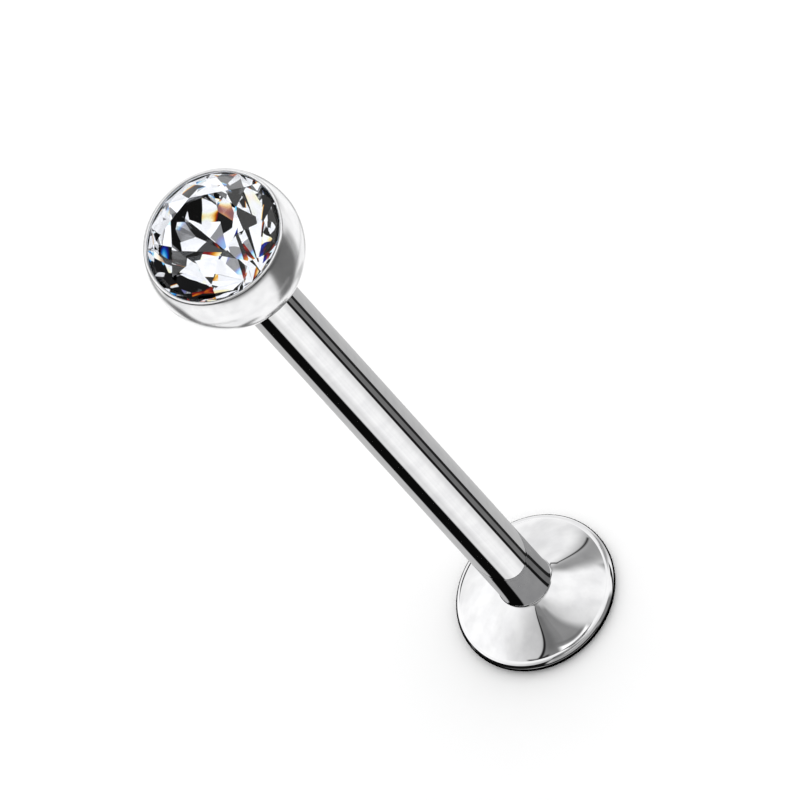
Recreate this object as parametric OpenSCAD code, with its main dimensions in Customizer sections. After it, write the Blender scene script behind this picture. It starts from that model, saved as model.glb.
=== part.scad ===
// Push-in labret stud: a hollow post with a domed base disc, and a ball-shaped bezel
// cup that holds a round cut crystal and plugs into the post on a stepped pin.
// Millimetres. The origin is the centre of the disc's flat back face. +Z runs up the
// post to the crystal. The stud stands on its disc.

/* [Post] */
// Outside diameter of the post
post_d = 1.2; // [1:0.05:1.8]
// Length of post between the base disc and the bezel cup
wear_length = 16; // [8:0.5:20]
// Width of the lead-in at the mouth of the post's bore
bore_lead_in = 0.05; // [0.02:0.01:0.08]
// Radius of the fillet where the post grows out of the disc
foot_fillet = 0.06; // [0.02:0.01:0.12]

/* [Base disc] */
// Diameter of the disc
disc_d = 3.62; // [3:0.1:5]
// Thickness of the disc's fully rounded edge
disc_edge_t = 0.3; // [0.2:0.02:0.4]
// Height from the edge up to the foot of the post
dome_rise = 0.52; // [0.3:0.02:0.7]
// Bulge of the dome past a straight cone, halfway up
dome_bulge = 0.045; // [0.02:0.005:0.08]

/* [Bezel cup] */
// Diameter of the ball that the cup is turned from
ball_d = 3.4; // [3:0.05:4]
// Height of the cup's rim above the ball's centre
rim_height = 0.69; // [0.5:0.02:0.8]
// Thickness of the rounded lip round the crystal
lip_t = 0.09; // [0.06:0.005:0.12]
// Reach of the lip in over the crystal's girdle
lip_cover = 0.02; // [0.01:0.005:0.04]
// Reach of the flat under the ball past the side of the post
seat_margin = 0.05; // [0.03:0.01:0.2]
// Metal left between the head of the pin and the hollow for the crystal
pin_web = 0.16; // [0.12:0.02:0.24]

/* [Crystal] */
// Diameter of the table, corner to corner
table_d = 1.6; // [1.3:0.05:1.9]
// Slope of the main crown facets, in degrees
crown_angle = 40; // [36:0.5:42]
// Slope of the main pavilion facets, in degrees
pavilion_angle = 49; // [43:0.5:50]
// Thickness of the girdle
girdle_t = 0.05; // [0.03:0.01:0.08]
// Share of the crown between table and girdle that the star facets take
star_share = 0.64; // [0.5:0.02:0.74]
// Share of the pavilion between girdle and point that the lower facets take
lower_share = 0.42; // [0.36:0.02:0.6]
// Turn of the crystal in its seat, in degrees
crystal_turn = 33; // [0:1:45]

/* [Pin] */
// Diameter of the collar, which centres the top in the post
collar_d = 0.66; // [0.56:0.02:0.7]
// Length of the collar below the cup
collar_length = 1.12; // [0.8:0.04:1.6]
// Diameter of the short neck under the collar
upper_neck_d = 0.36; // [0.3:0.02:0.42]
// Length of that neck
upper_neck_length = 0.24; // [0.16:0.02:0.4]
// Diameter of the pin's shank
shank_d = 0.48; // [0.42:0.02:0.52]
// Length of the shank
shank_length = 2.85; // [2:0.05:3.5]
// Diameter of the neck above the tip
lower_neck_d = 0.3; // [0.24:0.02:0.36]
// Length of that neck
lower_neck_length = 0.6; // [0.4:0.05:0.8]
// Diameter of the pin's tip
tip_d = 0.53; // [0.5:0.01:0.56]
// Length of the tip
tip_length = 1.29; // [1:0.05:1.5]
// Radius of the rounding at the end of the tip
tip_round = 0.1; // [0.04:0.02:0.2]

/* [Fits] */
// Radial clearance between the collar and the post's bore
bore_gap = 0.03; // [0.02:0.01:0.05]
// Gap between the cup's flat and the end of the post
seat_gap = 0.01; // [0.01:0.01:0.05]
// Gap between the crystal and the metal that holds it
setting_gap = 0.015; // [0.01:0.005:0.03]
// Radial gap between the collar and its hole in the cup
collar_gap = 0.01; // [0.005:0.005:0.02]
// Room between the pin's tip and the bottom of the bore
tip_room = 0.3; // [0.1:0.05:0.5]

/* [Hidden] */
$fn = 96;

steel = [0.80, 0.80, 0.81];
pin_steel = [0.74, 0.74, 0.76];
clear_stone = [0.90, 0.93, 0.97];

post_r = post_d / 2;
disc_r = disc_d / 2;
edge_r = disc_edge_t / 2;
dome_foot_r = disc_r - edge_r;
shoulder_z = disc_edge_t + dome_rise;
post_top_z = shoulder_z + wear_length;

// the bore takes the whole pin, whose steps are measured down from the cup's flat
pin_reach = collar_length + upper_neck_length + shank_length + lower_neck_length + tip_length;
bore_r = collar_d / 2 + bore_gap;
bore_depth = pin_reach + tip_room;
drill_point = 118;
bore_point_depth = bore_r / tan(drill_point / 2);

ball_r = ball_d / 2;
seat_r = post_r + seat_margin;
cup_flat_z = post_top_z + seat_gap;
ball_z = cup_flat_z + sqrt(ball_r * ball_r - seat_r * seat_r);
rim_z = ball_z + rim_height;

// the lip is a half-round bead that touches the ball's surface from inside
lip_r = lip_t / 2;
lip_z = rim_z - lip_r;
lip_x = sqrt(pow(ball_r - lip_r, 2) - pow(rim_height - lip_r, 2));
lip_touch_z = ball_z + ball_r * (lip_z - ball_z) / (ball_r - lip_r);

// the crown facets pass under the lip with the setting gap
crystal_r = lip_x - lip_r + lip_cover;
table_r = table_d / 2;
girdle_z = lip_z - (crystal_r - lip_x) * tan(crown_angle)
    - (lip_r + setting_gap) / cos(crown_angle);
girdle_low_z = girdle_z - girdle_t;
table_z = girdle_z + (crystal_r - table_r) * tan(crown_angle);
point_z = girdle_low_z - crystal_r * tan(pavilion_angle);

// corners of the stone's table, and half the angle between two of them
FACETS = 8;
HALF_STEP = 180 / FACETS;

// the cup's hollow follows the ridges of the pavilion at the setting gap
hollow_slope = atan(tan(pavilion_angle) * cos(HALF_STEP));
hollow_r = crystal_r + setting_gap;
hollow_point_z = point_z - setting_gap / cos(hollow_slope);
hollow_foot_z = hollow_point_z + hollow_r * tan(hollow_slope);
pin_head_z = hollow_point_z - pin_web;

// Circle through two points whose arc stands proud of the chord by the given bulge.
// Returns [centre, radius]; the arc bulges to the left of the way from a to b.
function bulge_circle(a, b, bulge) =
    let (chord = norm(b - a),
         radius = (chord * chord / 4 + bulge * bulge) / (2 * bulge),
         way = (b - a) / chord,
         left = [-way[1], way[0]])
    [(a + b) / 2 + left * (bulge - radius), radius];

dome = bulge_circle([post_r, shoulder_z], [dome_foot_r, disc_edge_t], dome_bulge);
dome_centre = dome[0];
dome_r = dome[1];

// depth to which the foot fillet's arc cuts into the dome, so that the two cross cleanly
fillet_bite = 0.0002;

// Turns a half profile round the post's axis.
module revolved() {
    rotate_extrude() children();
}

// Half profile of the disc: flat back, round edge, domed front.
module disc_profile() {
    square([dome_foot_r, edge_r]);
    translate([dome_foot_r, edge_r]) circle(r = edge_r);
    intersection() {
        translate(dome_centre) circle(r = dome_r);
        translate([0, edge_r / 2]) square([dome_foot_r + edge_r / 4, 2 * dome_rise]);
    }
}

// Fillet between the post's side and the dome.
module fillet_profile() {
    reach = dome_r + foot_fillet - fillet_bite;
    across = post_r + foot_fillet;
    up = dome_centre[1] + sqrt(pow(reach, 2) - pow(across - dome_centre[0], 2));
    touch_x = dome_centre[0] + (across - dome_centre[0]) * dome_r / reach;
    difference() {
        translate([0, edge_r]) square([touch_x, up - edge_r]);
        translate([across, up]) circle(r = foot_fillet);
    }
}

// Half profile of the bore, with its drill point and the lead-in at its mouth.
module bore_profile() {
    bore_floor = post_top_z - bore_depth;
    polygon([
        [0, bore_floor - bore_point_depth],
        [bore_r, bore_floor],
        [bore_r, post_top_z - bore_lead_in],
        [bore_r + bore_lead_in, post_top_z],
        [bore_r + bore_lead_in, post_top_z + bore_lead_in],
        [0, post_top_z + bore_lead_in]
    ]);
}

module labret_post() {
    color(steel) revolved() difference() {
        union() {
            disc_profile();
            fillet_profile();
            square([post_r, post_top_z]);
        }
        bore_profile();
    }
}

// Half profile of the space that the crystal fills, open at the top of the lip.
module setting_profile() {
    polygon([
        [0, hollow_point_z],
        [hollow_r, hollow_foot_z],
        [hollow_r, girdle_z],
        [lip_x, lip_z - lip_r],
        [lip_x, rim_z + lip_t],
        [0, rim_z + lip_t]
    ]);
}

module bezel_cup() {
    color(steel) revolved() {
        difference() {
            translate([0, ball_z]) circle(r = ball_r);
            translate([-ball_r, ball_z - 2 * ball_r])
                square([2 * ball_r, cup_flat_z - ball_z + 2 * ball_r]);
            translate([-ball_r, lip_touch_z]) square(2 * ball_r);
            translate([-ball_r, ball_z - ball_r]) square([ball_r, 2 * ball_r]);
            setting_profile();
            square([collar_d / 2 + collar_gap, pin_head_z + collar_gap]);
        }
        translate([lip_x, lip_z]) circle(r = lip_r);
    }
}

module push_pin() {
    neck_top = cup_flat_z - collar_length;
    shank_top = neck_top - upper_neck_length;
    shank_foot = shank_top - shank_length;
    tip_top = shank_foot - lower_neck_length;
    tip_foot = tip_top - tip_length;
    lower_taper = (shank_d - lower_neck_d) / 2;
    upper_taper = (shank_d - upper_neck_d) / 2;
    color(pin_steel) revolved() {
        translate([0, neck_top]) square([collar_d / 2, pin_head_z - neck_top]);
        polygon([
            [0, tip_top],
            [lower_neck_d / 2, tip_top],
            [lower_neck_d / 2, shank_foot - lower_taper],
            [shank_d / 2, shank_foot],
            [shank_d / 2, shank_top],
            [upper_neck_d / 2, shank_top + upper_taper],
            [upper_neck_d / 2, neck_top],
            [0, neck_top]
        ]);
        translate([0, tip_foot + tip_round]) square([tip_d / 2, tip_length - tip_round]);
        translate([0, tip_foot]) square([tip_d / 2 - tip_round, tip_length]);
        translate([tip_d / 2 - tip_round, tip_foot + tip_round]) circle(r = tip_round);
    }
}

// Round brilliant. Each ring starts at azimuth zero or half a facet on, and faces are
// listed clockwise as seen from outside.
function ring(radius, height, start, count) =
    [for (i = [0:count - 1])
        let (a = start + i * 360 / count)
        [radius * cos(a), radius * sin(a), height]];

module crystal() {
    star_r = table_r * cos(HALF_STEP)
        + star_share * (crystal_r - table_r * cos(HALF_STEP));
    star_z = girdle_z + (crystal_r - star_r * cos(HALF_STEP)) * tan(crown_angle);
    lower_r = crystal_r * (1 - lower_share);
    lower_z = girdle_low_z - (crystal_r - lower_r * cos(HALF_STEP)) * tan(pavilion_angle);
    points = concat(
        ring(table_r, table_z, 0, FACETS),
        ring(star_r, star_z, HALF_STEP, FACETS),
        ring(crystal_r, girdle_z, 0, 2 * FACETS),
        ring(crystal_r, girdle_low_z, 0, 2 * FACETS),
        ring(lower_r, lower_z, HALF_STEP, FACETS),
        [[0, 0, point_z]]);
    table = 0;
    star = FACETS;
    upper = 2 * FACETS;
    lower = 4 * FACETS;
    pavilion = 6 * FACETS;
    point = 7 * FACETS;
    function step(i) = (i + 1) % FACETS;
    function back(i) = (i + FACETS - 1) % FACETS;
    function half_step(j) = (j + 1) % (2 * FACETS);
    faces = concat(
        [[for (i = [FACETS - 1:-1:0]) table + i]],
        [for (i = [0:FACETS - 1]) [table + i, table + step(i), star + i]],
        [for (i = [0:FACETS - 1]) [table + i, star + i, upper + 2 * i, star + back(i)]],
        [for (i = [0:FACETS - 1]) [star + i, upper + 2 * i + 1, upper + 2 * i]],
        [for (i = [0:FACETS - 1])
            [star + i, upper + (2 * i + 2) % (2 * FACETS), upper + 2 * i + 1]],
        [for (j = [0:2 * FACETS - 1])
            [upper + j, upper + half_step(j), lower + half_step(j), lower + j]],
        [for (i = [0:FACETS - 1]) [pavilion + i, lower + 2 * i, lower + 2 * i + 1]],
        [for (i = [0:FACETS - 1])
            [pavilion + i, lower + 2 * i + 1, lower + (2 * i + 2) % (2 * FACETS)]],
        [for (i = [0:FACETS - 1])
            [point, pavilion + back(i), lower + 2 * i, pavilion + i]]);
    color(clear_stone) rotate([0, 0, crystal_turn])
        polyhedron(points = points, faces = faces, convexity = 2);
}

labret_post();
bezel_cup();
push_pin();
crystal();
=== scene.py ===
"""Looks of a push-in labret stud with a crystal in a ball-shaped bezel cup.

The metal is turned in Geometry Nodes from half profiles, and the crystal is cut there from
its rings of corners. A studio of pale walls and dark cards lights the polished surfaces.
"""

import math
from collections import namedtuple

import bpy
from mathutils import Matrix, Vector


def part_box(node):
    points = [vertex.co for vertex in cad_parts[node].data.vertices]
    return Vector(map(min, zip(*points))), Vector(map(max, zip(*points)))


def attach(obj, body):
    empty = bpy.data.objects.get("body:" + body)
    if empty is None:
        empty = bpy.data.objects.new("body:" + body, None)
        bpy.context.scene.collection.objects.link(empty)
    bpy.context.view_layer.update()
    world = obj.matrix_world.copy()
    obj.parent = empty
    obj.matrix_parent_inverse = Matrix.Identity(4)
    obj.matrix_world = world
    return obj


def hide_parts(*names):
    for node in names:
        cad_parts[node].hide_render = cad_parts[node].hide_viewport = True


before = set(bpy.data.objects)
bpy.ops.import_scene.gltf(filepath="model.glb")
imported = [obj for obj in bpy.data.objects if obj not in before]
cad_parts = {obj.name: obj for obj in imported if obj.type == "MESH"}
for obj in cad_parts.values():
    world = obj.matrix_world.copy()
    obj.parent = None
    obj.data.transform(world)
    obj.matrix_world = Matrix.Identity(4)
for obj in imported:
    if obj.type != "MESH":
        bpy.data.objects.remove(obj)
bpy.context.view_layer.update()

MM = 0.001
FULL_TURN = 360.0

# Sizes in millimetres that the frame's boxes don't give
POST_R = 0.6
FOOT_FILLET = 0.06
DISC_EDGE_T = 0.3
DOME_RISE = 0.52
DOME_BULGE = 0.045
BORE_R = 0.36
BORE_DEPTH = 6.4
BORE_LEAD_IN = 0.05
SEAT_R = 0.65
LIP_T = 0.09
PIN_HOLE_R = 0.34
PIN_HOLE_ROOM = 0.01
SETTING_GAP = 0.015
GIRDLE_T = 0.05
TABLE_R = 0.8
COLLAR_R = 0.33
COLLAR_LENGTH = 1.12
UPPER_NECK_R = 0.18
UPPER_NECK_LENGTH = 0.24
SHANK_R = 0.24
SHANK_LENGTH = 2.85
LOWER_NECK_R = 0.15
LOWER_NECK_LENGTH = 0.6
TIP_R = 0.265
TIP_ROUND = 0.1

# Angles in degrees. Metal edges that turn by more than the last one stay sharp.
DRILL_POINT = 118
CROWN_ANGLE = 40
PAVILION_ANGLE = 49
CRYSTAL_TURN = 33
SHARP_ANGLE = 20

# The crystal's main facets, how far its star facets reach from the table to the girdle and
# its lower facets from the girdle to the point, as shares of the way, and its refraction
FACETS = 8
STAR_SHARE = 0.64
LOWER_SHARE = 0.42
CRYSTAL_IOR = 1.58

# Sides of the turned pieces, and the distance in millimetres within which points become one,
# which closes their seams
METAL_SIDES = 256
PIN_SIDES = 96
SEAM = 0.00001

# The two colours between which each material varies
STEEL_COLOURS = ((0.765, 0.765, 0.775), (0.83, 0.83, 0.835))
PIN_COLOURS = ((0.7, 0.7, 0.72), (0.77, 0.77, 0.785))
CRYSTAL_COLOURS = ((0.97, 0.975, 0.99), (0.93, 0.94, 0.96))
PAPER_COLOURS = ((0.895, 0.895, 0.895), (0.905, 0.905, 0.905))

# How soft the top edge of the crystal's foil is to either side, in millimetres
FOIL_EDGE = 0.002

# The floor in millimetres: half its side, how far it lies under the disc, and the distances
# from which polished metal sees its painted black shade in full and no longer
FLOOR_HALF = 600
FLOOR_DROP = 0.01
FLOOR_NEAR = 0.5
FLOOR_FAR = 0.9

# Brightness of the white walls that light the floor, and how much more it is to the right
# and at the back
PLAIN_LEVEL = 1.2
PLAIN_RIGHT = 0.7
PLAIN_BACK = 0.4

# Camera: two angles in degrees, then millimetres, then what it sees as shares of its distance
ELEVATION = 57.6
ROLL = 42.1
LENS = 1500
SENSOR = 36
PICTURE_WIDTH = 16.88
LOOK_AT = (0.61, 0, 9.47)
CLIP_NEAR = 0.1
CLIP_FAR = 3

# Sockets of the Mix node, whose names repeat
FACTOR = 0
NUMBER_A = 2
NUMBER_B = 3
COLOUR_A = 6
COLOUR_B = 7
COLOUR_RESULT = 2


class Value:
    """An output socket that takes part in Python sums, which add Math nodes to its tree."""

    def __init__(self, net, socket):
        self.net = net
        self.socket = socket

    def math(self, operation, *others):
        return self.net.add("ShaderNodeMath", {"operation": operation},
                            dict(enumerate([self, *others])))

    def __add__(self, other):
        return self.math("ADD", other)

    __radd__ = __add__

    def __sub__(self, other):
        return self.math("SUBTRACT", other)

    def __rsub__(self, other):
        return self.math("MULTIPLY_ADD", -1.0, other)

    def __mul__(self, other):
        return self.math("MULTIPLY", other)

    __rmul__ = __mul__

    def __truediv__(self, other):
        return self.math("DIVIDE", other)

    def __rtruediv__(self, other):
        return self.net.add("ShaderNodeMath", {"operation": "DIVIDE"}, {0: other, 1: self})

    def __abs__(self):
        return self.math("ABSOLUTE")

    def __neg__(self):
        return self * -1.0

    def ramp(self, low, high, start=0.0, end=1.0):
        """Goes smoothly from start at low to end at high, and stays there outside."""
        settings = {"interpolation_type": "SMOOTHSTEP", "clamp": True}
        return self.net.add("ShaderNodeMapRange", settings,
                            {"Value": self, "From Min": low, "From Max": high,
                             "To Min": start, "To Max": end})

    def parts(self):
        """The three numbers of a vector."""
        return list(self.net.outputs("ShaderNodeSeparateXYZ", {0: self}).values())

    def feed(self, key, value):
        """Links a value to an input of the node that this value comes out of."""
        self.net.tree.links.new(value.socket, self.socket.node.inputs[key])


class Net:
    """A node tree that is filled by calls."""

    def __init__(self, tree):
        self.tree = tree
        tree.nodes.clear()

    def add(self, kind, settings=None, inputs=None, out=0):
        """Adds one node, with its settings first and then its inputs, and returns an output."""
        node = self.tree.nodes.new(kind)
        for name, setting in (settings or {}).items():
            setattr(node, name, setting)
        for key, value in (inputs or {}).items():
            if isinstance(value, Value):
                self.tree.links.new(value.socket, node.inputs[key])
            else:
                node.inputs[key].default_value = value
        return Value(self, node.outputs[out]) if node.outputs else None

    def outputs(self, kind, inputs=None):
        """Adds one node and returns all its outputs by name."""
        node = self.add(kind, None, inputs).socket.node
        return {socket.name: Value(self, socket) for socket in node.outputs if socket.name}


def mm(*numbers):
    """Millimetres as metres."""
    return tuple(n * MM for n in numbers)


def new_object(name, data):
    thing = bpy.data.objects.new(name, data)
    bpy.context.scene.collection.objects.link(thing)
    return thing


# Half profiles, in millimetres as (radius, height), run anticlockwise: up on the outside.

def arc(centre, radius, start, end, steps):
    """Points of an arc, from one angle to the other in degrees, both ends included."""
    angles = [math.radians(start + (end - start) * i / steps) for i in range(steps + 1)]
    return [(centre[0] + radius * math.cos(a), centre[1] + radius * math.sin(a))
            for a in angles]


def line(start, end, steps):
    """Points along a line, its start left out. Long walls have many, to shade evenly."""
    return [(start[0] + (end[0] - start[0]) * i / steps,
             start[1] + (end[1] - start[1]) * i / steps) for i in range(1, steps + 1)]


def angle_to(centre, point):
    """The angle in degrees at which a point is seen from a centre."""
    return math.degrees(math.atan2(point[1] - centre[1], point[0] - centre[0]))


def bulge_circle(a, b, bulge):
    """Centre and radius of the arc that stands off the chord from a to b by bulge."""
    a, b = Vector(a), Vector(b)
    chord = (b - a).length
    radius = (chord ** 2 / 4 + bulge ** 2) / (2 * bulge)
    way = (b - a) / chord
    left = Vector((-way.y, way.x))
    return (a + b) / 2 + left * (bulge - radius), radius


def node_box(name):
    """Lowest and highest corner of a CAD node, in millimetres."""
    low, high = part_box(name)
    return low / MM, high / MM


def post_profile():
    """The post with its disc: flat back, round edge, dome, fillet, wall, mouth and bore."""
    high = node_box("labret_post")[1]
    disc_r, top = high.x, high.z
    edge_r = DISC_EDGE_T / 2
    edge = (disc_r - edge_r, edge_r)
    rim = (edge[0], DISC_EDGE_T)
    shoulder = (POST_R, DISC_EDGE_T + DOME_RISE)
    dome, dome_r = bulge_circle(shoulder, rim, DOME_BULGE)
    reach = dome_r + FOOT_FILLET
    across = POST_R + FOOT_FILLET
    fillet = (across, dome.y + math.sqrt(reach ** 2 - (across - dome.x) ** 2))
    touch = dome + (Vector(fillet) - dome) * dome_r / reach
    bore_top = (BORE_R, top - BORE_LEAD_IN)
    bore_floor = (BORE_R, top - BORE_DEPTH)
    return [
        (0, 0),
        *line((0, 0), (edge[0], 0), steps=6),
        *arc(edge, edge_r, -90, 90, steps=32)[1:],
        *arc(dome, dome_r, angle_to(dome, rim), angle_to(dome, touch), steps=40)[1:],
        *arc(fillet, FOOT_FILLET, angle_to(fillet, touch) + FULL_TURN, 180, steps=12)[1:],
        *line((POST_R, fillet[1]), (POST_R, top), steps=60),
        (BORE_R + BORE_LEAD_IN, top),
        bore_top,
        *line(bore_top, bore_floor, steps=20),
        (0, bore_floor[1] - BORE_R / math.tan(math.radians(DRILL_POINT / 2))),
    ]


def cup_sizes():
    """Flat underside, ball and lip of the cup, worked out as in the solid."""
    low, high = node_box("bezel_cup")
    flat, rim, ball_r = low.z, high.z, high.x
    ball = flat + math.sqrt(ball_r ** 2 - SEAT_R ** 2)
    lip_r = LIP_T / 2
    lip_z = rim - lip_r
    lip_x = math.sqrt((ball_r - lip_r) ** 2 - (lip_z - ball) ** 2)
    return {"flat": flat, "ball": (0, ball), "ball_r": ball_r, "lip": (lip_x, lip_z),
            "lip_r": lip_r}


def crystal_sizes():
    """Heights of the table, girdle and point, and the girdle's radius."""
    low, high = node_box("crystal")
    table, point = high.z, low.z
    crown_slope = math.tan(math.radians(CROWN_ANGLE))
    slopes = crown_slope + math.tan(math.radians(PAVILION_ANGLE))
    radius = (table - point - GIRDLE_T + TABLE_R * crown_slope) / slopes
    girdle = table - (radius - TABLE_R) * crown_slope
    return {"table": table, "point": point, "radius": radius, "girdle": girdle}


def cup_profile():
    """The cup: hole for the pin, flat seat, ball, rounded lip and the stone's hollow."""
    cup, stone = cup_sizes(), crystal_sizes()
    slope = math.tan(math.radians(PAVILION_ANGLE)) * math.cos(math.pi / FACETS)
    hollow_r = stone["radius"] + SETTING_GAP
    point = stone["point"] - SETTING_GAP / math.cos(math.atan(slope))
    hollow_foot = (hollow_r, point + hollow_r * slope)
    hole_top = node_box("push_pin")[1].z + PIN_HOLE_ROOM
    seat = (SEAT_R, cup["flat"])
    outward = angle_to(cup["ball"], cup["lip"])
    return [
        (0, hole_top),
        (PIN_HOLE_R, hole_top),
        *line((PIN_HOLE_R, hole_top), (PIN_HOLE_R, cup["flat"]), steps=4),
        seat,
        *arc(cup["ball"], cup["ball_r"], angle_to(cup["ball"], seat), outward, steps=120)[1:],
        *arc(cup["lip"], cup["lip_r"], outward, 270, steps=24)[1:],
        (hollow_r, stone["girdle"]),
        hollow_foot,
        *line(hollow_foot, (0, point), steps=12),
    ]


def pin_profile():
    """The stepped pin: rounded tip, lower neck, shank, upper neck and collar."""
    low, high = node_box("push_pin")
    neck_top = node_box("bezel_cup")[0].z - COLLAR_LENGTH
    shank_top = neck_top - UPPER_NECK_LENGTH
    shank_foot = shank_top - SHANK_LENGTH
    tip_top = shank_foot - LOWER_NECK_LENGTH
    round_centre = (TIP_R - TIP_ROUND, low.z + TIP_ROUND)
    lower_neck = (LOWER_NECK_R, shank_foot - SHANK_R + LOWER_NECK_R)
    upper_neck = (UPPER_NECK_R, shank_top + SHANK_R - UPPER_NECK_R)
    return [
        (0, low.z),
        *arc(round_centre, TIP_ROUND, -90, 0, steps=10),
        *line((TIP_R, round_centre[1]), (TIP_R, tip_top), steps=6),
        (LOWER_NECK_R, tip_top),
        *line((LOWER_NECK_R, tip_top), lower_neck, steps=3),
        *line(lower_neck, (SHANK_R, shank_foot), steps=2),
        *line((SHANK_R, shank_foot), (SHANK_R, shank_top), steps=12),
        *line((SHANK_R, shank_top), upper_neck, steps=2),
        (UPPER_NECK_R, neck_top),
        (COLLAR_R, neck_top),
        *line((COLLAR_R, neck_top), (COLLAR_R, high.z), steps=6),
        (0, high.z),
    ]


def node_group(name, inputs):
    """The net of an empty geometry tree with named inputs, and the inputs as values."""
    tree = bpy.data.node_groups.new(name, "GeometryNodeTree")
    tree.interface.new_socket("Geometry", in_out="INPUT", socket_type="NodeSocketGeometry")
    for label, kind in inputs.items():
        tree.interface.new_socket(label, in_out="INPUT", socket_type="NodeSocket" + kind)
    tree.interface.new_socket("Geometry", in_out="OUTPUT", socket_type="NodeSocketGeometry")
    net = Net(tree)
    return net, net.outputs("NodeGroupInput")


def finish_group(geometry, material):
    """Ends a tree in a plain mesh with its material, and returns the tree."""
    net = geometry.net
    real = net.add("GeometryNodeRealizeInstances", None, {"Geometry": geometry})
    made = net.add("GeometryNodeSetMaterial", None, {"Geometry": real, "Material": material})
    net.add("NodeGroupOutput", None, {"Geometry": made})
    return net.tree


def shade_by_angle(mesh, sharp):
    """Smooth faces, with every edge sharp that turns by more than the given angle."""
    net = mesh.net
    smooth = net.add("GeometryNodeSetShadeSmooth", {"domain": "FACE"},
                     {"Geometry": mesh, "Shade Smooth": True})
    over = net.add("GeometryNodeInputMeshEdgeAngle").math("GREATER_THAN", sharp)
    return net.add("GeometryNodeSetShadeSmooth", {"domain": "EDGE"},
                   {"Geometry": smooth, "Selection": over, "Shade Smooth": False})


def turned_tree():
    """Turns the line of points on which it sits, (radius, 0, height), round the Z axis."""
    net, given = node_group("turned_piece", {
        "Rows": "Int", "Sides": "Int", "Sharp angle": "Float", "Material": "Material"})
    sides = given["Sides"]
    columns = sides + 1.0
    grid = net.add("GeometryNodeMeshGrid", None,
                   {"Vertices X": given["Rows"], "Vertices Y": columns})
    index = net.add("GeometryNodeInputIndex")
    row = (index / columns).math("FLOOR")
    turn = (index - row * columns) / sides * (2 * math.pi)
    place = net.add("GeometryNodeInputPosition")
    point = net.add("GeometryNodeSampleIndex", {"data_type": "FLOAT_VECTOR"},
                    {"Geometry": given["Geometry"], "Value": place, "Index": row})
    radius, _, height = point.parts()
    turned = net.add("ShaderNodeCombineXYZ", None, {
        "X": radius * turn.math("COSINE"), "Y": radius * turn.math("SINE"), "Z": height})
    sheet = net.add("GeometryNodeSetPosition", None, {"Geometry": grid, "Position": turned})
    closed = net.add("GeometryNodeMergeByDistance", None,
                     {"Geometry": sheet, "Distance": SEAM * MM})
    return finish_group(shade_by_angle(closed, given["Sharp angle"]), given["Material"])


def brilliant_tree():
    """A round brilliant, as the hull of its rings of corners."""
    net, given = node_group("round_brilliant", {
        "Radius": "Float", "Table radius": "Float", "Table height": "Float",
        "Girdle height": "Float", "Girdle thickness": "Float", "Point height": "Float",
        "Crown angle": "Float", "Pavilion angle": "Float", "Star share": "Float",
        "Lower share": "Float", "Turn": "Float", "Facets": "Int", "Material": "Material"})
    half_step = math.pi / given["Facets"]
    apothem = half_step.math("COSINE")
    table, radius, girdle = given["Table radius"], given["Radius"], given["Girdle height"]
    crown_slope = given["Crown angle"].math("TANGENT")
    pavilion_slope = given["Pavilion angle"].math("TANGENT")
    star_r = table * apothem + given["Star share"] * (radius - table * apothem)
    star_z = girdle + (radius - star_r * apothem) * crown_slope
    girdle_foot = girdle - given["Girdle thickness"]
    lower_r = radius * (1.0 - given["Lower share"])
    lower_z = girdle_foot - (radius - lower_r * apothem) * pavilion_slope
    # Each ring's radius, height, turn in half steps, and corners for each facet
    rings = [(table, given["Table height"], 0.0, 1.0), (star_r, star_z, 1.0, 1.0),
             (radius, girdle, 0.0, 2.0), (radius, girdle_foot, 0.0, 2.0),
             (lower_r, lower_z, 1.0, 1.0), (0.0, given["Point height"], 0.0, 1.0)]
    corners = net.add("GeometryNodeJoinGeometry")
    for ring_r, height, steps, count in rings:
        ring = net.add("GeometryNodeMeshCircle", None,
                       {"Vertices": given["Facets"] * count, "Radius": ring_r})
        lift = net.add("ShaderNodeCombineXYZ", None, {"Z": height})
        turn = net.add("ShaderNodeCombineXYZ", None, {"Z": given["Turn"] + half_step * steps})
        placed = net.add("GeometryNodeTransform", None,
                         {"Geometry": ring, "Translation": lift, "Rotation": turn})
        corners.feed("Geometry", placed)
    hull = net.add("GeometryNodeConvexHull", None, {"Geometry": corners})
    flat = net.add("GeometryNodeSetShadeSmooth", {"domain": "FACE"},
                   {"Geometry": hull, "Shade Smooth": False})
    return finish_group(flat, given["Material"])


def made_by(tree, name, start, values):
    """Runs a tree on a start mesh with the given inputs and keeps the plain mesh."""
    maker = new_object(name + "_maker", start)
    modifier = maker.modifiers.new("shape", "NODES")
    modifier.node_group = tree
    sockets = {s.name: s.identifier for s in tree.interface.items_tree if s.in_out == "INPUT"}
    for label, value in values.items():
        modifier[sockets[label]] = value
    graph = bpy.context.evaluated_depsgraph_get()
    mesh = bpy.data.meshes.new_from_object(maker.evaluated_get(graph), depsgraph=graph)
    mesh.name = name
    mesh.materials.clear()
    mesh.materials.append(values["Material"])
    bpy.data.objects.remove(maker)
    return new_object(name, mesh)


def turned_piece(tree, name, profile, sides, material):
    """Turns a half profile into a piece."""
    start = bpy.data.meshes.new(name + "_profile")
    start.from_pydata([mm(r, 0, z) for r, z in profile], [], [])
    return made_by(tree, name, start, {
        "Rows": len(profile), "Sides": sides, "Sharp angle": math.radians(SHARP_ANGLE),
        "Material": material})


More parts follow.
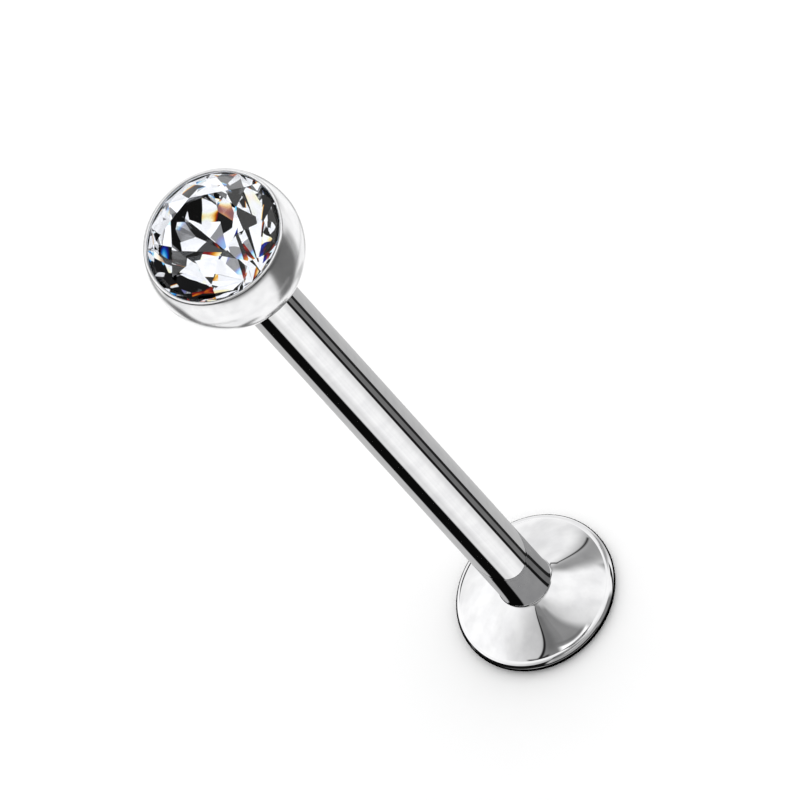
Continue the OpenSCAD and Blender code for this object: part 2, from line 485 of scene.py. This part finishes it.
def cut_crystal(material):
    """Cuts the crystal to the heights of its CAD node."""
    stone = crystal_sizes()
    return made_by(brilliant_tree(), "cut_crystal", bpy.data.meshes.new("crystal_start"), {
        "Radius": stone["radius"] * MM, "Table radius": TABLE_R * MM,
        "Table height": stone["table"] * MM, "Girdle height": stone["girdle"] * MM,
        "Girdle thickness": GIRDLE_T * MM, "Point height": stone["point"] * MM,
        "Crown angle": math.radians(CROWN_ANGLE),
        "Pavilion angle": math.radians(PAVILION_ANGLE),
        "Star share": STAR_SHARE, "Lower share": LOWER_SHARE,
        "Turn": math.radians(CRYSTAL_TURN), "Facets": FACETS, "Material": material})


# Materials

def principled(name, constants):
    """A new material, and its shader with the given constants."""
    material = bpy.data.materials.new(name)
    material.use_nodes = True
    net = Net(material.node_tree)
    return material, net.add("ShaderNodeBsdfPrincipled", None, constants)


def showing(material, shader):
    """Ends a material with the shader that its surface shows."""
    shader.net.add("ShaderNodeOutputMaterial", None, {"Surface": shader})
    return material


def object_place(net):
    """Object coordinates, in metres."""
    return net.add("ShaderNodeTexCoord", out="Object")


def stretched(place, *scale):
    """Object coordinates drawn out along the axes that have the smaller scale."""
    return place.net.add("ShaderNodeMapping", None, {"Vector": place, "Scale": scale})


def noise(place, scale, detail=3.0):
    """Clouds, about as many in one unit of the coordinates as the scale says."""
    return place.net.add("ShaderNodeTexNoise", None,
                         {"Vector": place, "Scale": scale, "Detail": detail})


def tint(factor, colours):
    """A colour between two, by a factor."""
    low, high = colours
    return factor.net.add("ShaderNodeMix", {"data_type": "RGBA"},
                          {FACTOR: factor, COLOUR_A: (*low, 1), COLOUR_B: (*high, 1)},
                          out=COLOUR_RESULT)


def bumped(shader, height, distance, strength):
    """Raises a shader's surface by a height, over a distance in millimetres."""
    bump = shader.net.add("ShaderNodeBump", None, {
        "Height": height, "Distance": distance * MM, "Strength": strength})
    shader.feed("Normal", bump)


def either(factor, first, second):
    """The first shader where the factor is 0, and the second where it is 1."""
    return factor.net.add("ShaderNodeMixShader", None, {0: factor, 1: first, 2: second})


def polished_steel(name, finest, dullest, scratch):
    """Polished steel: clouds of finer and duller polish, a mottled bloom, a few hairlines."""
    material, shader = principled(name, {"Metallic": 1.0})
    place = object_place(shader.net)
    cloud = noise(place, 700.0)
    bloom = noise(place, 2600.0, detail=4.0)
    hairline = noise(stretched(place, 9000, 9000, 700), 1.0, detail=1.0)
    shader.feed("Base Color", tint(bloom.ramp(0.3, 0.7), STEEL_COLOURS))
    scratched = hairline.ramp(0.66, 0.7, end=scratch)
    shader.feed("Roughness", cloud.ramp(0.3, 0.7, start=finest, end=dullest) + scratched)
    return showing(material, shader)


def turned_steel():
    """The pin's steel, with the fine rings that the lathe leaves."""
    material, shader = principled("turned_steel", {"Metallic": 1.0})
    place = object_place(shader.net)
    rings = noise(stretched(place, 200, 200, 24000), 1.0)
    patch = noise(place, 1500.0)
    shader.feed("Base Color", tint(patch.ramp(0.35, 0.65), PIN_COLOURS))
    shader.feed("Roughness", rings.ramp(0.3, 0.7, start=0.14, end=0.28))
    bumped(shader, rings, distance=0.004, strength=0.5)
    return showing(material, shader)


def foiled_crystal():
    """Clear lead crystal whose pavilion, below the girdle, is backed with a mirror foil."""
    material, shader = principled("foiled_crystal", {
        "Transmission Weight": 1.0, "IOR": CRYSTAL_IOR})
    place = object_place(shader.net)
    height = place.parts()[2]
    foil_top = crystal_sizes()["girdle"] - GIRDLE_T
    clear, foiled = mm(foil_top + FOIL_EDGE, foil_top - FOIL_EDGE)
    dust = noise(place, 2500.0)
    shader.feed("Base Color", tint(dust.ramp(0.4, 0.7), CRYSTAL_COLOURS))
    shader.feed("Roughness", dust.ramp(0.5, 0.75, end=0.012))
    shader.feed("Metallic", height.ramp(clear, foiled))
    bumped(shader, noise(place, 1100.0, detail=0.0), distance=0.02, strength=1.0)
    return showing(material, shader)


def floor_paper():
    """Matt white paper with a faint grain. Polished metal sees it only from close by, where it
    shows black: painted shade, as the dark line under a thing that lies on paper. Farther off,
    metal sees the studio cards in its place."""
    material, shader = principled("floor_paper", {"Roughness": 0.6})
    net = shader.net
    grain = noise(object_place(net), 1200.0)
    shader.feed("Base Color", tint(grain, PAPER_COLOURS))
    bumped(shader, grain, distance=0.01, strength=0.1)
    ray = net.outputs("ShaderNodeLightPath")
    close = ray["Ray Length"].ramp(FLOOR_FAR * MM, FLOOR_NEAR * MM)
    unseen = net.add("ShaderNodeBsdfTransparent")
    # Painted shade: black that nearby metal sees in place of the floor's shade under the disc
    dark = net.add("ShaderNodeEmission", None, {"Strength": 0.0})
    painted_shade_up_close = either(close, unseen, dark)
    return showing(material, either(ray["Is Glossy Ray"], shader, painted_shade_up_close))


# Studio cards, as seen from the stud in degrees, laid over one another in this order.
# Azimuth 0 is the camera's side. Lean and bow are azimuth for each degree of elevation and
# for its square, and tilt is elevation for each degree of azimuth.
Card = namedtuple("Card", (
    "name", "azimuth", "half_width", "side_softness", "lean", "bow",
    "elevation", "half_height", "end_softness", "tilt", "brightness"))
METAL_LEVEL = 1.17
METAL_CARDS = (
    ("sky_left", -128, 40, 40, 0, 0, 38, 30, 30, 0, 1.27),
    ("sky_right", 150, 34, 30, 0, 0, 18, 22, 20, 0, 1.05),
    ("front_fall", -30, 65, 90, 0, 0, 65, 28, 20, 0, 0.68),
    ("left_black", -82, 40, 8, 0, 0, 8, 25, 4, 0.42, 0.008),
    ("left_black_low", -72, 32, 14, 0, 0, -9, 8, 8, 0.15, 0.008),
    ("rear_left_black", -150, 30, 10, 0, 0, -19.5, 18.5, 4, 0.6, 0.01),
    ("front_black", -10, 38, 12, 0, 0, -3, 13, 9, 0, 0.008),
    ("front_grey", -5, 36, 12, 0, 0, 29, 19, 6, 0, 0.45),
    ("right_grey", 45, 18, 12, 0, 0, 10, 30, 8, -0.2, 0.27),
    ("right_black", 81, 7, 5, 0.5, 0, 8, 24, 8, 0, 0.01),
    ("right_low", 46, 24, 8, 0, 0, -18, 6, 9, -0.2, 0.05),
    ("right_light", 112, 12, 16, 0, 0, 0, 30, 16, 0, 0.7),
    ("low_wedge", 42, 25, 8, 0.1, 0, -47, 31, 8, 0, 0.18),
    ("wedge_fade", 72, 6, 14, 0.1, 0, -44, 22, 14, 0, 0.42),
    ("under_right", 115, 50, 20, 0, 0, -73, 3, 4, 0, 0.65),
    ("under_left", -110, 60, 20, 0, 0, -75.5, 2.5, 4, 0, 0.16),
    ("left_limb", -132, 22, 12, 0, 0, -43, 4, 6, 0, 0.3),
    ("right_limb", 151, 9, 8, 0.7, 0, -54, 13, 6, 0, 0.42),
    ("low_left", -114, 11, 10, 0, 0, -50, 12, 10, 0, 0.14),
    ("low_left_foot", -108, 8, 10, 0, 0, -66, 8, 8, 0, 0.2),
    ("wedge_spread", -18, 22, 18, -1.4, 0, 66, 15, 5, 0, 0.32),
    ("wedge", -34.8, 15, 5, -0.72, -0.059, 64, 17, 4, 0, 0.28),
    ("wedge_core", -41.8, 8, 14, -0.84, -0.059, 65, 13, 6, 0, 0.2),
    ("wedge_top", -52, 14, 6, -3, 0, 77, 3, 2, 0, 0.28),
    ("wedge_edge", -48.2, 1.9, 2.4, -0.37, -0.059, 61, 17.5, 3, 0, 0.02),
    ("wedge_foot", -9, 24, 12, 0, 0, 55, 0.8, 1.6, -0.03, 0.22),
    ("front_white", -2, 25, 10, 0, 0, 51.8, 1.5, 1.2, 0, 1.3),
    ("foot_line", -57, 13, 6, 0, 0, 45.6, 0.5, 1, 0.27, 0.02),
    ("limb_left", -171, 8, 3, 0, 0, 42, 7, 3, -0.6, 0.03),
    ("rear_right_grey", 168, 14, 10, 0, 0, -32, 10, 8, 0, 0.25),
    ("back_shade", 112, 11, 18, 0, 0.022, 33, 22, 10, 0, 0.4),
    ("back_line", 120.6, 0.8, 1.8, 0, 0.022, 32, 14.5, 2, 0, 0.03),
    ("back_corner", 128, 4, 2, 0, 0, 46.6, 0.7, 1.4, 0.03, 0.06),
    ("table_shade", 180, 7, 4, 0, 0, 57.6, 3.5, 2, 0, 0.12),
    ("post_band", -7, 50, 4, 0, 0, -57.6, 0.6, 0.4, 0, 0.93),
    ("post_bright", -6, 24, 30, 0, 0, -57.6, 0.6, 0.4, 0, 1.17),
    ("post_black", -81.8, 24.5, 6, 0, 0, -57.6, 0.6, 0.4, 0, 0.004),
    ("post_line_near", 47.6, 6, 3, 0, 0, -57.6, 0.6, 0.4, 0, 0.01),
    ("post_grey", 63, 10, 3, 0, 0, -57.6, 0.6, 0.4, 0, 0.2),
    ("post_line_far", 79.4, 7, 3, 0, 0, -57.6, 0.6, 0.4, 0, 0.02),
    ("post_back_right", 132.8, 46.2, 4, 0, 0, -57.6, 0.6, 0.4, 0, 0.58),
    ("post_back_left", -144, 37, 6, 0, 0, -57.6, 0.6, 0.4, 0, 0.61),
)
# What shows in steel that is seen in steel, such as the dome in the foot of the post, and
# the depth of a light ray past which it does
SECOND_DEPTH = 2.5
SECOND_LEVEL = 0.39
SECOND_CARDS = (
    ("left_white", -150, 48, 8, 0, 0, 0, 90, 1, 0, 0.62),
    ("left_black", -81.8, 24.5, 6, 0, 0, 0, 90, 1, 0, 0.004),
    ("near_line", 47.6, 6, 3, 0, 0, 0, 90, 1, 0, 0.01),
    ("grey", 63, 10, 3, 0, 0, 0, 90, 1, 0, 0.2),
    ("far_line", 79.4, 7, 3, 0, 0, 0, 90, 1, 0, 0.02),
    ("right_white", 132.8, 46.2, 4, 0, 0, 0, 90, 1, 0, 0.42),
)
# The stone sees harder cards, which its facets break up.
STONE_LEVEL = 1.35
STONE_CARDS = (
    ("camera_side", -8, 38, 2.5, 0, 0, 46, 19, 2.5, 0, 0.015),
    ("left_lens", -76, 14, 2.5, 0, 0, 60, 6, 2.5, 0, 0.02),
    ("left_grey", -108, 26, 4, 0, 0, 48, 7, 3, 0, 0.35),
    ("back_block", 180, 24, 2.5, 0, 0, 49, 9.5, 2.5, 0, 0.01),
    ("right_grey", 41, 9, 2.5, 0, 0, 41, 10, 2.5, 0, 0.2),
    ("right_bar", 116, 20, 2.5, 0, 0, 73, 4, 2, 0, 0.1),
    ("overhead", -58, 30, 3, 0, 0, 81.5, 3, 2, 0, 0.45),
)
# How far the crystal spreads red and blue apart, in degrees
SPREAD = 0.7


def within(distance, half_size, softness):
    """1 nearer than half a card's size and 0 further off, with a soft edge."""
    return distance.ramp(half_size + softness / 2, half_size - softness / 2)


def card_level(azimuth, elevation, cards, level):
    """Brightness in a direction: the walls' level with the cards laid over it."""
    for card in map(Card._make, cards):
        side = azimuth - card.azimuth
        up = rise = elevation - card.elevation
        if card.tilt:
            turned = (side + 1.5 * FULL_TURN).math("MODULO", FULL_TURN) - FULL_TURN / 2
            rise = rise - turned * card.tilt
        if card.lean:
            side = side - up * card.lean
        if card.bow:
            side = side - up * up * card.bow
        across = side.math("PINGPONG", FULL_TURN / 2)
        mask = (within(across, card.half_width, card.side_softness)
                * within(abs(rise), card.half_height, card.end_softness))
        level = azimuth.net.add("ShaderNodeMix", {"data_type": "FLOAT", "label": card.name},
                                {FACTOR: mask, NUMBER_A: level, NUMBER_B: card.brightness})
    return level


def backdrop(colour):
    return colour.net.add("ShaderNodeBackground", None, {"Color": colour, "Strength": 1.0})


def build_studio():
    """Lights the scene: plain white for the floor and the backdrop, cards for what shines."""
    world = bpy.data.worlds.new("studio")
    bpy.context.scene.world = world
    world.use_nodes = True
    world.cycles.sampling_method = "NONE"
    net = Net(world.node_tree)
    direction = net.add("ShaderNodeTexCoord", out="Generated")
    x, y, z = direction.parts()
    azimuth = x.math("ARCTAN2", -y) * math.degrees(1)
    elevation = z.math("ARCSINE") * math.degrees(1)
    haze = noise(direction, 4.0).ramp(0.35, 0.7, start=1.0, end=0.9)
    stone_haze = noise(direction, 6.0).ramp(0.3, 0.65, start=1.0, end=0.8)
    metal = card_level(azimuth, elevation, METAL_CARDS, METAL_LEVEL) * haze
    twice = card_level(azimuth, elevation, SECOND_CARDS, SECOND_LEVEL)
    channels = [card_level(azimuth + shift, elevation + shift, STONE_CARDS, STONE_LEVEL)
                for shift in (SPREAD, 0.0, -SPREAD)]
    stone = net.add("ShaderNodeCombineColor", None,
                    dict(enumerate(channel * stone_haze for channel in channels)))
    plain = x * PLAIN_RIGHT + y * PLAIN_BACK + PLAIN_LEVEL
    ray = net.outputs("ShaderNodeLightPath")
    again = ray["Ray Depth"].math("GREATER_THAN", SECOND_DEPTH)
    unreflected = (ray["Is Camera Ray"] + ray["Is Diffuse Ray"]).math("MINIMUM", 1.0)
    steel_side = either(again, backdrop(metal), backdrop(twice))
    shining = either(ray["Is Transmission Ray"], steel_side, backdrop(stone))
    shown = either(unreflected, shining, backdrop(plain))
    net.add("ShaderNodeOutputWorld", None, {"Surface": shown})


def add_floor():
    """White paper under the disc, which the stone doesn't see."""
    half, z = mm(FLOOR_HALF, -FLOOR_DROP)
    mesh = bpy.data.meshes.new("floor")
    mesh.from_pydata([(-half, -half, z), (half, -half, z), (half, half, z), (-half, half, z)],
                     [], [(0, 1, 2, 3)])
    mesh.materials.append(floor_paper())
    floor = new_object("floor", mesh)
    floor.visible_transmission = False


def add_camera():
    """A far camera with a long lens, rolled as the photograph is."""
    distance = PICTURE_WIDTH * MM * LENS / SENSOR
    data = bpy.data.cameras.new("camera")
    data.lens = LENS
    data.sensor_width = SENSOR
    data.clip_start = distance * CLIP_NEAR
    data.clip_end = distance * CLIP_FAR
    camera = new_object("camera", data)
    tilt = math.radians(ELEVATION)
    back = Vector((0, -math.cos(tilt), math.sin(tilt)))
    roll = Matrix.Rotation(-math.radians(ROLL), 3, "Z")
    turn = (-back).to_track_quat("-Z", "Y").to_matrix() @ roll
    place = Vector(mm(*LOOK_AT)) + back * distance
    camera.matrix_world = Matrix.Translation(place) @ turn.to_4x4()
    bpy.context.scene.camera = camera


def fit(piece, node, body):
    """Puts a finished piece on its body, in place of its CAD node."""
    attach(piece, body)
    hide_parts(node)


def make_stud():
    tree = turned_tree()
    mirror = polished_steel("mirror_steel", finest=0.003, dullest=0.012, scratch=0.004)
    buffed = polished_steel("buffed_steel", finest=0.15, dullest=0.19, scratch=0.02)
    post = turned_piece(tree, "turned_post", post_profile(), METAL_SIDES, mirror)
    cup = turned_piece(tree, "turned_cup", cup_profile(), METAL_SIDES, buffed)
    pin = turned_piece(tree, "turned_pin", pin_profile(), PIN_SIDES, turned_steel())
    crystal = cut_crystal(foiled_crystal())
    fit(post, "labret_post", "post")
    fit(cup, "bezel_cup", "top")
    fit(pin, "push_pin", "top")
    fit(crystal, "crystal", "top")


make_stud()
build_studio()
add_floor()
add_camera()
bpy.context.scene.view_settings.view_transform = "Standard"
